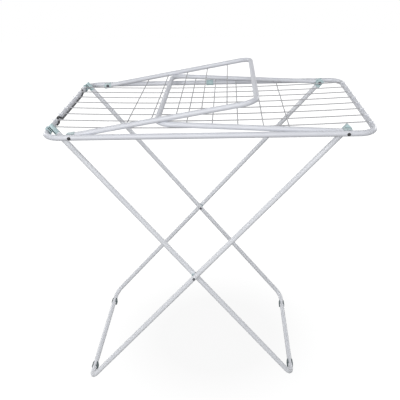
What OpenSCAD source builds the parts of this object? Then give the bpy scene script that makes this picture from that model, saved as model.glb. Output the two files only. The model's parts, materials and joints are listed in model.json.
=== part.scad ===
// Folding clothes drying rack: a wired top frame with two flap wings, on crossed tube legs.
// The top frame pivots on the outer legs at the right. The inner legs hook onto its left side bar.
// Millimetres. X runs along the rack, Y across it and Z up. The floor is Z = 0.

/* [Main frame] */
// Length between the axes of the two side bars
frame_l = 890; // [780:5:1000]
// Width between the axes of the two long bars
frame_w = 556; // [500:2:640]
// Height of the main frame's tube axis above the floor
frame_h = 880; // [800:5:960]
// Outer radius of the main frame's tube
frame_tube_r = 8; // [7:0.25:9.5]
// Bend radius of the main frame's corners, at the tube's axis
frame_bend_r = 46; // [38:1:47]
// Wall of every tube
tube_wall = 1; // [0.8:0.1:1.5]
// Distance from a side bar's axis to the hinge axis beside it
hinge_inset = 75; // [66:1:90]
// Distance of the joint sleeve from the middle of the back bar
sleeve_offset = 10; // [0:1:60]
// Length of the sleeve over the frame tube's seam
sleeve_l = 24; // [16:1:40]
// Wall of that sleeve
sleeve_wall = 2.2; // [1.5:0.1:3]

/* [Drying wires] */
// Radius of the drying wires
wire_r = 1.5; // [1.2:0.1:2]
// Number of long wires on the main frame
main_wire_count = 8; // [4:1:8]
// Distance from a long bar's axis to the outer wire beside it
main_wire_margin = 68; // [60:1:80]
// How far the long wires hang down at their middle
wire_sag = 10; // [5:0.5:14]
// Number of cross wires on each wing
wing_wire_count = 5; // [3:1:5]
// Spacing of the cross wires
wing_wire_pitch = 69.5; // [60:0.5:74]
// Distance from a wing's hinge to its first cross wire
wing_first_wire = 150; // [135:1:160]
// Metal left between a cross wire and the lower face of the folded wing's tube
wire_edge = 2.6; // [2:0.1:3.5]
// How far a cross wire's end stands back from the wing tube's axis
wire_entry = 3; // [2.5:0.1:3.5]

/* [Wings] */
// Distance from a wing's hinge to its end bar's axis
wing_l = 509; // [490:1:540]
// Outer radius of the wing tubes
wing_tube_r = 7.5; // [6.5:0.25:7.5]
// Bend radius of the wings' corners, at the tube's axis
wing_bend_r = 40; // [30:1:50]
// Thickness of a wing's hinge end, across the rack
wing_end_t = 15.6; // [15.4:0.1:17]
// Height of a wing's hinge end
wing_end_h = 15.6; // [14:0.2:18]
// How far a wing's hinge end reaches past the hinge axis
wing_end_tail = 13; // [9:0.5:15]
// Distance from the hinge axis to where the wing tube starts
wing_end_reach = 12; // [10:0.5:18]

/* [Legs] */
// Outer radius of the leg tubes
leg_tube_r = 7.75; // [6.75:0.25:7.75]
// Bend radius of the legs' corners at the foot bars
leg_bend_r = 30; // [20:1:50]
// Distance from the middle of the rack to the outer legs' foot bar
outer_foot_reach = 416; // [380:2:440]
// Distance from the middle of the rack to the inner legs' foot bar
inner_foot_reach = 255; // [225:2:290]
// Space between an outer leg's tube and the inner leg's tube beside it
leg_gap = 5; // [4:0.5:7]
// Thickness of an outer leg's hinge end, across the rack
leg_end_t = 15.6; // [15.6:0.1:16.5]
// Width of an outer leg's hinge end
leg_end_w = 18.5; // [17:0.5:22]
// How far an outer leg's hinge end reaches past the hinge axis
leg_end_tail = 13; // [9:0.5:15]
// Distance from the hinge axis to where the outer leg's tube starts
leg_end_reach = 16; // [13:0.5:20]
// Length of each plug that holds a plastic end in its tube
plug_l = 25; // [15:1:40]
// Radius of the rounded corners on the plastic hinge ends
end_round = 4; // [2:0.5:6]

/* [Leg hooks] */
// Distance from the side bar's axis to the hooked leg's axis
hook_offset = 19; // [18:0.5:22]
// Width of a hook's jaw along the side bar
hook_w = 15; // [14:1:20]
// Wall of the hook's jaw around the side bar
jaw_wall = 3; // [2.4:0.2:4]
// Space between the jaw and the side bar
jaw_gap = 0.5; // [0.4:0.05:0.8]
// How far the jaw's lips reach past the side bar's axis
jaw_reach = 5.5; // [3:0.5:6]
// Angle of the jaw's mouth above the horizontal
jaw_angle = 14; // [13:0.5:15]
// Distance from the side bar's axis, along the leg, to where the leg tube ends
hook_reach = 20; // [16:0.5:24]
// How far the hook's round body reaches past the side bar's axis, along the leg
hook_top = 10; // [8:0.5:12]
// Depth of the two moulded grooves along each side of a hook
groove_depth = 4; // [1:0.5:5]

/* [Feet and rivets] */
// Distance from an outer leg's axis to the middle of the foot clip beside it
outer_foot_inset = 62; // [52:1:90]
// Distance from an inner leg's axis to the middle of the foot clip beside it
inner_foot_inset = 58; // [52:1:90]
// Length of a foot clip along its foot bar
foot_l = 20; // [14:1:30]
// Wall of a foot clip beside the tube
foot_wall = 2.25; // [2:0.25:4]
// Thickness of a foot clip's sole under the tube
sole_t = 4.25; // [4:0.25:9]
// Half the width of the foot clip's slot on top
foot_slot = 6.2; // [5:0.1:6.4]
// Radius of the hinge rivets' shanks
hinge_rivet_r = 3; // [2:0.1:3.5]
// Radius of the crossing rivets' shanks
cross_rivet_r = 2.5; // [2:0.1:3]
// How far a rivet's head reaches past its shank
rivet_lip = 2; // [1.5:0.1:3]
// Height of a rivet's domed outer head
rivet_dome = 2.4; // [1.5:0.1:3]
// Thickness of a rivet's flat inner head
rivet_tail = 1.6; // [1:0.1:2]
// Radius of the spacers between the crossed legs
spacer_r = 8; // [6:0.5:11]

/* [Side wire] */
// Radius of the bent wire along the left side bar
side_wire_r = 2.2; // [1.6:0.1:2.4]
// Length of the straight run of that wire
side_wire_run = 245; // [200:1:248]
// Distance of that run's front end from the middle of the rack
side_wire_front = 107; // [104:1:108]
// Length of each rise, along the bar, from the run up to its top
side_wire_rise = 21; // [18:1:22]
// Length of the fall back to the bar's inner side, past the front rise
side_wire_fall = 16; // [14:1:18]
// Length of the wire's straight end past that fall
side_wire_tail = 20; // [10:1:26]

/* [Clearances] */
// Gap between pieces of one body that are welded or clipped together
seat_gap = 0.05; // [0.02:0.01:0.1]
// Radial clearance of a rivet in its hole
run_gap = 0.05; // [0.03:0.01:0.1]
// Gap between pieces of different bodies that rest on each other
rest_gap = 0.3; // [0.2:0.05:0.5]
// Side clearance between the pieces stacked on a hinge rivet
side_gap = 0.5; // [0.3:0.05:0.8]

/* [Hidden] */
$fn = 48;

// Places across the rack, for the back half. The front half is its mirror image.
frame_y = frame_w / 2;
wing_y = frame_y - frame_tube_r - side_gap - wing_end_t / 2;
outer_leg_y = wing_y - wing_end_t / 2 - side_gap - leg_end_t / 2;
inner_leg_y = outer_leg_y - 2 * leg_tube_r - leg_gap;

// Places along the rack
frame_x = frame_l / 2;
hinge_x = frame_x - hinge_inset;
foot_z = sole_t + leg_tube_r;

// Outer leg: a line from its foot bar to the right hinge
outer_run = hinge_x + outer_foot_reach;
outer_rise = frame_h - foot_z;
outer_len = norm([outer_run, outer_rise]);
outer_angle = atan2(outer_rise, outer_run);

// Inner leg: a line from its foot bar that passes the left side bar at hook_offset
inner_run = -frame_x - inner_foot_reach;
inner_rise = frame_h - foot_z;
inner_base = norm([inner_run, inner_rise]);
inner_angle = atan2(inner_rise, inner_run) - asin(hook_offset / inner_base);
inner_len = sqrt(inner_base * inner_base - hook_offset * hook_offset);
jaw_bore_r = frame_tube_r + jaw_gap;

// Crossing of the two lines, as distances from each foot bar
foot_span = outer_foot_reach + inner_foot_reach;
apex_angle = inner_angle - outer_angle;
cross_on_outer = foot_span * sin(180 - inner_angle) / sin(apex_angle);
cross_on_inner = foot_span * sin(outer_angle) / sin(apex_angle);
cross_x = -outer_foot_reach + cross_on_outer * cos(outer_angle);
cross_z = foot_z + cross_on_outer * sin(outer_angle);

// Drying wires. Each long wire is one arc, lowest at its middle, that lies on both side bars.
main_wire_pitch = (frame_w - 2 * main_wire_margin) / (main_wire_count - 1);
sag_r = (frame_x * frame_x + wire_sag * wire_sag) / (2 * wire_sag);
sag_half = asin((frame_x + frame_tube_r - wire_r) / sag_r);
main_wire_low = (frame_tube_r + seat_gap + wire_r) / cos(asin(frame_x / sag_r)) - wire_sag;
wing_wire_drop = wing_tube_r - wire_r - wire_edge;
function main_wire_y(i) = (i - (main_wire_count - 1) / 2) * main_wire_pitch;
function main_wire_rise(x) = main_wire_low + sag_r - sqrt(sag_r * sag_r - x * x);
function wing_wire_x(i) = wing_first_wire + i * wing_wire_pitch;

// The right wing lies on the long wires, by one of its cross wires or by its end bar. The part
// of the wing at distance s, set drop below the wing's plane, gives the least tilt it can have.
function rest_tilt(s, drop, r) =
    asin((main_wire_rise(hinge_x - s) + wire_r + rest_gap + r) / norm([s, drop])) + atan2(drop, s);
right_tilt = max([
    rest_tilt(wing_l, 0, wing_tube_r),
    for (i = [0:wing_wire_count - 1]) rest_tilt(wing_wire_x(i), wing_wire_drop, wire_r)
]);

// The left wing lies on the bends of the right wing. Each point of a bend gives the least
// tilt at which the two tubes stay apart, and the largest of them holds.
tube_apart = 2 * wing_tube_r + rest_gap;
function bend_point(a) = [wing_l - wing_bend_r + wing_bend_r * sin(a), wing_bend_r * (1 - cos(a))];
function lean_over(s, sideways) =
    let (x = 2 * hinge_x - s * cos(right_tilt))
    let (z = s * sin(right_tilt))
    let (apart = sqrt(tube_apart * tube_apart - sideways * sideways))
    atan2(z, x) + asin(apart / norm([x, z]));

// A cross wire of the left wing that comes near the right wing's bends or end bar stays clear too
wire_apart = wing_tube_r + wire_r + rest_gap;
function wire_over(s, i) =
    let (x = 2 * hinge_x - s * cos(right_tilt))
    let (z = s * sin(right_tilt))
    let (far = norm([x, z]))
    let (near = norm([wing_wire_x(i), wing_wire_drop]))
    let (spread = (near * near + far * far - wire_apart * wire_apart) / (2 * near * far))
    abs(near - far) < wire_apart
        ? atan2(z, x) + acos(spread) + atan2(wing_wire_drop, wing_wire_x(i))
        : 0;
left_tilt = max([
    for (a = [0:2:88]) let (p = bend_point(a)) if (p[1] < tube_apart) lean_over(p[0], p[1]),
    for (a = [0:2:90], i = [0:wing_wire_count - 1]) wire_over(bend_point(a)[0], i)
]);

// ---------- shared shapes and placing ----------

FRONT = -1;
BACK = 1;
LEFT = -1;
RIGHT = 1;

// Children are drawn for the back half, and mirrored for the front one
module on_side(side) {
    mirror([0, side == FRONT ? 1 : 0, 0]) children();
}

// A cylinder along +Y from y = start to y = stop
module y_rod(r, start, stop) {
    translate([0, start, 0]) rotate([-90, 0, 0]) cylinder(r = r, h = stop - start);
}

// A round rod from one point to another, that reaches a quarter of its radius past both
module rod(p, q, r) {
    d = q - p;
    translate(p) rotate([0, acos(d[2] / norm(d)), atan2(d[1], d[0])])
        translate([0, 0, -r / 4]) cylinder(r = r, h = norm(d) + r / 2);
}

// A quarter bend in the XY plane, from +X round to +Y
module bend(bend_r, r) {
    rotate_extrude(angle = 90) translate([bend_r, 0]) circle(r = r);
}

// A U in the XY plane: two arms from x = start, joined by a bar at x = len
module u_rod(start, len, half_w, bend_r, r) {
    for (side = [FRONT, BACK]) {
        translate([start, side * half_w, 0]) rotate([0, 90, 0]) cylinder(r = r, h = len - bend_r - start);
        translate([len - bend_r, side * (half_w - bend_r), 0]) rotate([0, 0, side == BACK ? 0 : -90])
            bend(bend_r, r);
    }
    translate([len, 0, 0]) y_rod(r, bend_r - half_w, half_w - bend_r);
}

// The same U as a tube with open ends
module u_tube(start, len, half_w, bend_r, r) {
    difference() {
        u_rod(start, len, half_w, bend_r, r);
        u_rod(start - 1, len, half_w, bend_r, r - tube_wall);
    }
}

// A closed rounded rectangle of rod in the XY plane
module ring_rod(half_l, half_w, bend_r, r) {
    for (side = [FRONT, BACK]) {
        translate([bend_r - half_l, side * half_w, 0]) rotate([0, 90, 0])
            cylinder(r = r, h = 2 * (half_l - bend_r));
        translate([side * half_l, 0, 0]) y_rod(r, bend_r - half_w, half_w - bend_r);
    }
    corners = [[1, 1], [-1, 1], [-1, -1], [1, -1]];
    for (i = [0:3]) translate([corners[i][0] * (half_l - bend_r), corners[i][1] * (half_w - bend_r), 0])
        rotate([0, 0, 90 * i]) bend(bend_r, r);
}

// A rounded rectangle in the XZ plane, from x = x0 to x1 and h high, extruded t thick about y = 0
module rounded_block(x0, x1, h, t, round_r) {
    rotate([90, 0, 0]) translate([0, 0, -t / 2]) linear_extrude(height = t) {
        translate([x0 + round_r, -h / 2]) square([x1 - x0 - 2 * round_r, h]);
        translate([x0, round_r - h / 2]) square([x1 - x0, h - 2 * round_r]);
        for (x = [x0 + round_r, x1 - round_r], z = [round_r - h / 2, h / 2 - round_r])
            translate([x, z]) circle(r = round_r);
    }
}

// A rivet along Y: domed head outside, shank from y = inner to outer, flat head inside
module rivet(shank_r, inner, outer) {
    head_r = shank_r + rivet_lip;
    dome_r = (head_r * head_r + rivet_dome * rivet_dome) / (2 * rivet_dome);
    y_rod(shank_r, inner - rivet_tail / 2, outer + rivet_dome / 4);
    y_rod(head_r, inner - rivet_tail, inner);
    intersection() {
        y_rod(head_r, outer, outer + rivet_dome);
        translate([0, outer + rivet_dome - dome_r, 0]) sphere(r = dome_r, $fn = 96);
    }
}

// Places of the moving assemblies. Inside, X runs along the wing or up the leg.
module at_hinge(end) {
    translate([end * hinge_x, 0, frame_h]) children();
}
module along_left_wing() {
    at_hinge(LEFT) rotate([0, -left_tilt, 0]) children();
}
module along_right_wing() {
    at_hinge(RIGHT) mirror([1, 0, 0]) rotate([0, -right_tilt, 0]) children();
}
module along_outer_leg() {
    translate([-outer_foot_reach, 0, foot_z]) rotate([0, -outer_angle, 0]) children();
}
module along_inner_leg() {
    translate([inner_foot_reach, 0, foot_z]) rotate([0, -inner_angle, 0]) children();
}

// ---------- top frame ----------

module main_frame_tube() {
    color([0.88, 0.89, 0.92]) difference() {
        translate([0, 0, frame_h]) ring_rod(frame_x, frame_y, frame_bend_r, frame_tube_r);
        translate([0, 0, frame_h]) ring_rod(frame_x, frame_y, frame_bend_r, frame_tube_r - tube_wall);
        for (end = [LEFT, RIGHT]) at_hinge(end)
            y_rod(hinge_rivet_r + run_gap, -frame_w, frame_w);
        frame_seam();
    }
}

// The butt seam where the bent tube closes on itself, under the sleeve
module frame_seam() {
    translate([-sleeve_offset - seat_gap, frame_y - 2 * frame_tube_r, frame_h - 2 * frame_tube_r])
        cube([2 * seat_gap, 4 * frame_tube_r, 4 * frame_tube_r]);
}

module frame_joint_sleeve() {
    color([0.42, 0.62, 0.63]) translate([-sleeve_offset - sleeve_l / 2, frame_y, frame_h]) rotate([0, 90, 0])
        difference() {
            cylinder(r = frame_tube_r + seat_gap + sleeve_wall, h = sleeve_l);
            translate([0, 0, -1]) cylinder(r = frame_tube_r + seat_gap, h = sleeve_l + 2);
        }
}

module main_wires() {
    color([0.8, 0.81, 0.83]) for (i = [0:main_wire_count - 1])
        translate([0, main_wire_y(i), frame_h + main_wire_low + sag_r]) rotate([90, 0, 0])
            rotate([0, 0, 270 - sag_half]) rotate_extrude(angle = 2 * sag_half, $fn = 1800)
                translate([sag_r, 0]) circle(r = wire_r, $fn = 24);
}

// A bent wire along the left side bar's inner side, lapped over the bar's top at two places.
// Each point has an angle round the bar and a place along it.
module side_bar_wire() {
    low = -10;
    step = 35;
    stand = (frame_tube_r + seat_gap + side_wire_r) / cos(step / 2);
    front_y = -side_wire_front;
    lap_y = front_y - side_wire_rise;
    tail_y = lap_y - side_wire_fall;
    back_y = front_y + side_wire_run;
    places = [
        [low, tail_y - side_wire_tail], [low, tail_y],
        [low + step, tail_y + side_wire_fall / 3], [low + 2 * step, lap_y - side_wire_fall / 3],
        [low + 3 * step, lap_y],
        [low + 2 * step, lap_y + side_wire_rise / 3], [low + step, front_y - side_wire_rise / 3],
        [low, front_y], [low, back_y],
        [low + step, back_y + side_wire_rise], [low + 2 * step, back_y + 1.5 * side_wire_rise],
        [low + 3 * step, back_y + 2.2 * side_wire_rise]
    ];
    points = [for (p = places) [stand * cos(p[0]) - frame_x, p[1], stand * sin(p[0]) + frame_h]];
    color([0.13, 0.14, 0.15]) {
        for (i = [1:len(points) - 1]) rod(points[i - 1], points[i], side_wire_r);
        for (p = points) translate(p) sphere(r = 1.06 * side_wire_r);
    }
}

module hinge_rivet(end, side) {
    inner_y = end == LEFT ? wing_y - wing_end_t / 2 : outer_leg_y - leg_end_t / 2;
    color([0.1, 0.1, 0.11]) on_side(side) at_hinge(end)
        rivet(hinge_rivet_r, inner_y - rest_gap, frame_y + frame_tube_r + seat_gap);
}

// ---------- wings ----------

module wing_tube() {
    hole_end = wing_y - wire_entry + wire_r / 3;
    difference() {
        u_tube(wing_end_reach + seat_gap, wing_l, wing_y, wing_bend_r, wing_tube_r);
        for (i = [0:wing_wire_count - 1]) translate([wing_wire_x(i), 0, -wing_wire_drop])
            y_rod(wire_r + seat_gap, -hole_end, hole_end, $fn = 24);
    }
}

module wing_wires() {
    for (i = [0:wing_wire_count - 1]) translate([wing_wire_x(i), 0, -wing_wire_drop])
        y_rod(wire_r, wire_entry - wing_y, wing_y - wire_entry, $fn = 24);
}

// A plastic end: an eye for the hinge rivet, and a plug in the wing's tube
module wing_end(side) {
    on_side(side) translate([0, wing_y, 0]) difference() {
        union() {
            rounded_block(-wing_end_tail, wing_end_reach, wing_end_h, wing_end_t, end_round);
            rotate([0, 90, 0]) cylinder(r = wing_tube_r - tube_wall - seat_gap, h = wing_end_reach + plug_l);
        }
        y_rod(hinge_rivet_r + run_gap, -wing_end_t, wing_end_t);
    }
}

module wing_left_tube() {
    color([0.87, 0.88, 0.91]) along_left_wing() wing_tube();
}
module wing_right_tube() {
    color([0.87, 0.88, 0.91]) along_right_wing() wing_tube();
}
module wing_left_wires() {
    color([0.8, 0.81, 0.83]) along_left_wing() wing_wires();
}
module wing_right_wires() {
    color([0.8, 0.81, 0.83]) along_right_wing() wing_wires();
}
module wing_left_end(side) {
    color([0.62, 0.75, 0.76]) along_left_wing() wing_end(side);
}
module wing_right_end(side) {
    color([0.62, 0.75, 0.76]) along_right_wing() wing_end(side);
}

// ---------- outer legs ----------

// The leg's U is drawn from its foot bar at x = 0 up to the tube's end at x = top
module leg_tube(top, half_w, rivet_x) {
    difference() {
        translate([top, 0, 0]) mirror([1, 0, 0]) u_tube(0, top, half_w, leg_bend_r, leg_tube_r);
        translate([rivet_x, 0, 0]) y_rod(cross_rivet_r + run_gap, -frame_y, frame_y);
    }
}

module outer_leg_tube() {
    color([0.8, 0.82, 0.86]) along_outer_leg()
        leg_tube(outer_len - leg_end_reach - seat_gap, outer_leg_y, cross_on_outer);
}

module outer_leg_end(side) {
    color([0.42, 0.62, 0.63]) along_outer_leg() on_side(side) translate([outer_len, outer_leg_y, 0])
        difference() {
            union() {
                rounded_block(-leg_end_reach, leg_end_tail, leg_end_w, leg_end_t, end_round / 2);
                translate([-leg_end_reach - plug_l, 0, 0]) rotate([0, 90, 0])
                    cylinder(r = leg_tube_r - tube_wall - seat_gap, h = leg_end_reach + plug_l);
            }
            y_rod(hinge_rivet_r + run_gap, -leg_end_t, leg_end_t);
        }
}

// A clip that grips the foot bar from below and stands on a flat sole
module foot_clip() {
    outer_r = leg_tube_r + seat_gap + foot_wall;
    difference() {
        union() {
            y_rod(outer_r, -foot_l / 2, foot_l / 2);
            translate([-outer_r, -foot_l / 2, -foot_z]) cube([2 * outer_r, foot_l, foot_z]);
        }
        y_rod(leg_tube_r + seat_gap, -foot_l, foot_l);
        translate([-foot_slot, -foot_l, 0]) cube([2 * foot_slot, 2 * foot_l, 2 * outer_r]);
    }
}

module outer_foot(side) {
    color([0.2, 0.27, 0.27]) on_side(side)
        translate([-outer_foot_reach, outer_leg_y - outer_foot_inset, foot_z]) foot_clip();
}

module crossing_spacer(side) {
    color([0.2, 0.27, 0.27]) on_side(side) translate([cross_x, 0, cross_z]) difference() {
        y_rod(spacer_r, inner_leg_y + leg_tube_r + rest_gap, outer_leg_y - leg_tube_r - seat_gap);
        y_rod(cross_rivet_r + run_gap, inner_leg_y, outer_leg_y);
    }
}

module crossing_rivet(side) {
    color([0.1, 0.1, 0.11]) on_side(side) translate([cross_x, 0, cross_z])
        rivet(cross_rivet_r, inner_leg_y - leg_tube_r - rest_gap, outer_leg_y + leg_tube_r + seat_gap);
}

// ---------- inner legs ----------

module inner_leg_tube() {
    color([0.78, 0.8, 0.84]) along_inner_leg()
        leg_tube(inner_len - hook_reach - seat_gap, inner_leg_y, cross_on_inner);
}

// The hook's web and open jaw seen from the side, with the leg's axis along X
module hook_outline() {
    jaw_turn = 180 - jaw_angle - inner_angle;
    jaw_r = jaw_bore_r + jaw_wall;
    web_half = leg_tube_r - 0.5;
    difference() {
        union() {
            translate([-web_half, 0]) square([2 * web_half, hook_offset - frame_tube_r]);
            translate([0, hook_offset]) rotate(jaw_turn) {
                circle(r = jaw_r);
                translate([0, -jaw_r]) square([jaw_reach, 2 * jaw_r]);
            }
        }
        translate([0, hook_offset]) rotate(jaw_turn) {
            circle(r = jaw_bore_r);
            translate([0, -jaw_bore_r]) square([2 * jaw_r, 2 * jaw_bore_r]);
            translate([jaw_reach, -2 * jaw_r]) square([jaw_r, 4 * jaw_r]);
        }
    }
}

// The hook's round body in line with the leg tube, with a rounded tip and a plug in the tube
module hook_body() {
    plug_in = 2;
    tip_round = 2;
    body_l = hook_reach + hook_top;
    translate([-hook_reach - plug_l, 0, 0]) rotate([0, 90, 0])
        cylinder(r = leg_tube_r - tube_wall - seat_gap, h = plug_l + plug_in);
    translate([-hook_reach, 0, 0]) rotate([0, 90, 0]) rotate_extrude() {
        square([leg_tube_r, body_l - tip_round]);
        square([leg_tube_r - tip_round, body_l]);
        translate([leg_tube_r - tip_round, body_l - tip_round]) circle(r = tip_round);
    }
}

module leg_hook(side) {
    color([0.42, 0.62, 0.63]) along_inner_leg() on_side(side) translate([inner_len, inner_leg_y, 0])
        difference() {
            union() {
                rotate([90, 0, 0]) translate([0, 0, -hook_w / 2]) linear_extrude(height = hook_w)
                    hook_outline();
                hook_body();
            }
            hook_grooves();
        }
}

// Two moulded grooves along each side of a hook, with a rib between them
module hook_grooves() {
    groove_w = 3;
    rib = 1.8;
    rim = 3;
    high = hook_offset - jaw_bore_r - 0.7 * jaw_wall;
    for (side = [FRONT, BACK], step = [1, 2])
        translate([rim - hook_reach, side * hook_w / 2 - groove_depth, high + rib - step * (groove_w + rib)])
            cube([hook_reach + hook_top - 2 * rim, 2 * groove_depth, groove_w]);
}

module inner_foot(side) {
    color([0.2, 0.27, 0.27]) on_side(side)
        translate([inner_foot_reach, inner_leg_y - inner_foot_inset, foot_z]) foot_clip();
}

// ---------- nodes ----------

main_frame_tube();
frame_joint_sleeve();
main_wires();
side_bar_wire();
hinge_rivet(LEFT, FRONT);  // hinge_rivet_left_front
hinge_rivet(LEFT, BACK);  // hinge_rivet_left_back
hinge_rivet(RIGHT, FRONT);  // hinge_rivet_right_front
hinge_rivet(RIGHT, BACK);  // hinge_rivet_right_back
wing_left_tube();
wing_left_wires();
wing_left_end(FRONT);  // wing_left_end_front
wing_left_end(BACK);  // wing_left_end_back
wing_right_tube();
wing_right_wires();
wing_right_end(FRONT);  // wing_right_end_front
wing_right_end(BACK);  // wing_right_end_back
outer_leg_tube();
outer_leg_end(FRONT);  // outer_leg_end_front
outer_leg_end(BACK);  // outer_leg_end_back
outer_foot(FRONT);  // outer_foot_front
outer_foot(BACK);  // outer_foot_back
crossing_spacer(FRONT);  // crossing_spacer_front
crossing_spacer(BACK);  // crossing_spacer_back
crossing_rivet(FRONT);  // crossing_rivet_front
crossing_rivet(BACK);  // crossing_rivet_back
inner_leg_tube();
leg_hook(FRONT);  // leg_hook_front
leg_hook(BACK);  // leg_hook_back
inner_foot(FRONT);  // inner_foot_front
inner_foot(BACK);  // inner_foot_back
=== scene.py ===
"""Looks of the folding clothes drying rack.

Each sub-assembly is a class: the top frame, the two wings and the two crossed leg frames.
A class holds its sizes, builds its pieces round the fixed frame and dresses them.
Places come from the fixed frame's nodes. All lengths in this file are in metres.
"""
import json
import logging
import math
from collections.abc import Callable
from dataclasses import dataclass
from enum import Enum

import bmesh
import bpy
from bmesh.types import BMesh
from bpy.types import Material, Mesh, Node, NodeSocket, NodeTree, Object
from mathutils import Euler, Matrix, Vector


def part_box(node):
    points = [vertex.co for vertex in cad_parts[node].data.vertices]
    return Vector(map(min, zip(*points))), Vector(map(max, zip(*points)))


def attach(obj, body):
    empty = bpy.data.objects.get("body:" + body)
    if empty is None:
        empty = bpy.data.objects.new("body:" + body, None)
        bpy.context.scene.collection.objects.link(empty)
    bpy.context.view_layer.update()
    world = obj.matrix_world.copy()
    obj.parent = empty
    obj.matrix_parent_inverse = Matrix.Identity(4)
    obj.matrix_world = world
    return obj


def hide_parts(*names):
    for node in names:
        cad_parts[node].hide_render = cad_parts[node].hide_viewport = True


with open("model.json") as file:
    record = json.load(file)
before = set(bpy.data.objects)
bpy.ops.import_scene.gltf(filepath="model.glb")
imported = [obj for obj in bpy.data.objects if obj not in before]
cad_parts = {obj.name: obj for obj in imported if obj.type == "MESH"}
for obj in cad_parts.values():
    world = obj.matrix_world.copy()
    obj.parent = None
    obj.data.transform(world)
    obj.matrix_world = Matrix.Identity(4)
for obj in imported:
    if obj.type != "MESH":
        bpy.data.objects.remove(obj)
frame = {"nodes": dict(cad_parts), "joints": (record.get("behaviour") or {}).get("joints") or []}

LOG = logging.getLogger("drying_rack")
MM = 0.001
Y_AXIS = Vector((0, 1, 0))
WHITE = (1, 1, 1, 1)


class Side(Enum):
    """The two long sides of the rack, by the sign of Y."""

    FRONT = -1
    BACK = 1


class End(Enum):
    """The two ends of the rack, by the sign of X."""

    LEFT = -1
    RIGHT = 1


class Bevel(Enum):
    """Edge rounding of moulded pieces, as a width in metres."""

    FINE = 0.35 * MM
    MOULDED = 0.8 * MM


# ------------ nodes


def hex_colour(text: str) -> tuple[float, float, float, float]:
    """Turns an sRGB hex colour into a linear RGBA colour.

    Args:
        text: The colour, such as "#DCDDE6".

    Returns:
        Red, green, blue and alpha, as linear values.
    """
    parts = [int(text[i:i + 2], 16) / 255 for i in (1, 3, 5)]
    linear = [c / 12.92 if c <= 0.04045 else ((c + 0.055) / 1.055) ** 2.4 for c in parts]
    return (linear[0], linear[1], linear[2], 1.0)


def add(tree: NodeTree, kind: str, settings: dict | None = None, links: dict | None = None) -> Node:
    """Adds a node to a tree, with its settings and its links.

    Args:
        tree: The material or geometry tree.
        kind: The node's type name.
        settings: Values by name. A name of the node's own property sets it, any other names an input.
        links: Output sockets by the name or number of the input that each feeds.

    Returns:
        The new node.
    """
    node = tree.nodes.new(kind)
    for name, value in (settings or {}).items():
        if isinstance(name, str) and hasattr(node, name):
            setattr(node, name, value)
        else:
            node.inputs[name].default_value = value
    for name, socket in (links or {}).items():
        tree.links.new(socket, node.inputs[name])
    return node


# ------------ finishes


def blank_material(name: str) -> Material:
    """Makes a material whose node tree is empty.

    Args:
        name: The material's name.

    Returns:
        The new material.
    """
    mat = bpy.data.materials.new(name)
    mat.use_nodes = True
    mat.node_tree.nodes.clear()
    return mat


def close_material(mat: Material, ior: float, colour: NodeSocket, gloss: NodeSocket, relief: NodeSocket,
                   bump: float, depth: float) -> Material:
    """Ends a material in one surface with a fine relief.

    Args:
        mat: The material.
        ior: The surface's index of refraction.
        colour: The socket that gives its colour.
        gloss: The socket that gives its roughness.
        relief: The socket that gives its height.
        bump: How strongly the relief shows.
        depth: The relief's depth.

    Returns:
        The material.
    """
    tree = mat.node_tree
    normal = add(tree, "ShaderNodeBump", {"Strength": bump, "Distance": depth}, {"Height": relief})
    skin = add(tree, "ShaderNodeBsdfPrincipled", {"IOR": ior},
               {"Base Color": colour, "Roughness": gloss, "Normal": normal.outputs["Normal"]})
    add(tree, "ShaderNodeOutputMaterial", None, {"Surface": skin.outputs["BSDF"]})
    return mat


@dataclass(frozen=True)
class PowderCoat:
    """Polyester powder coat on steel, or a whiter copy of it that paints the highlight on wire ends: satin,
    with a faint orange peel.
    """

    name: str
    colour: str
    dusty: str
    roughness: float = 0.36
    drift: float = 90 * MM
    mark: float = 6 * MM
    peel: float = 1.6 * MM
    peel_depth: float = 0.2 * MM
    bump: float = 0.05
    ior: float = 1.5

    def build(self) -> Material:
        """Makes the material.

        Returns:
            A painted steel material on object coordinates.
        """
        mat = blank_material(self.name)
        tree = mat.node_tree
        place = add(tree, "ShaderNodeTexCoord").outputs["Object"]
        # The tone drifts slowly along a tube, as a sprayed coat's thickness does
        drift = add(tree, "ShaderNodeTexNoise", {"Scale": 1 / self.drift, "Detail": 3.0}, {"Vector": place})
        reach = add(tree, "ShaderNodeMapRange", {"From Min": 0.35, "From Max": 0.8, "To Max": 0.55},
                    {"Value": drift.outputs["Fac"]})
        tone = add(tree, "ShaderNodeMix",
                   {"data_type": "RGBA", 6: hex_colour(self.colour), 7: hex_colour(self.dusty)},
                   {0: reach.outputs["Result"]})
        # Handling marks: small duller patches, which break up the highlight
        marks = add(tree, "ShaderNodeTexNoise", {"Scale": 1 / self.mark, "Detail": 4.0, "Roughness": 0.65},
                    {"Vector": place})
        gloss = add(tree, "ShaderNodeMapRange",
                    {"From Min": 0.3, "From Max": 0.75, "To Min": self.roughness - 0.05,
                     "To Max": self.roughness + 0.12},
                    {"Value": marks.outputs["Fac"]})
        # Orange peel, which ripples the highlight along a tube
        peel = add(tree, "ShaderNodeTexNoise", {"Scale": 1 / self.peel, "Detail": 2.0}, {"Vector": place})
        return close_material(mat, self.ior, tone.outputs[2], gloss.outputs["Result"], peel.outputs["Fac"],
                              self.bump, self.peel_depth)


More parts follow.
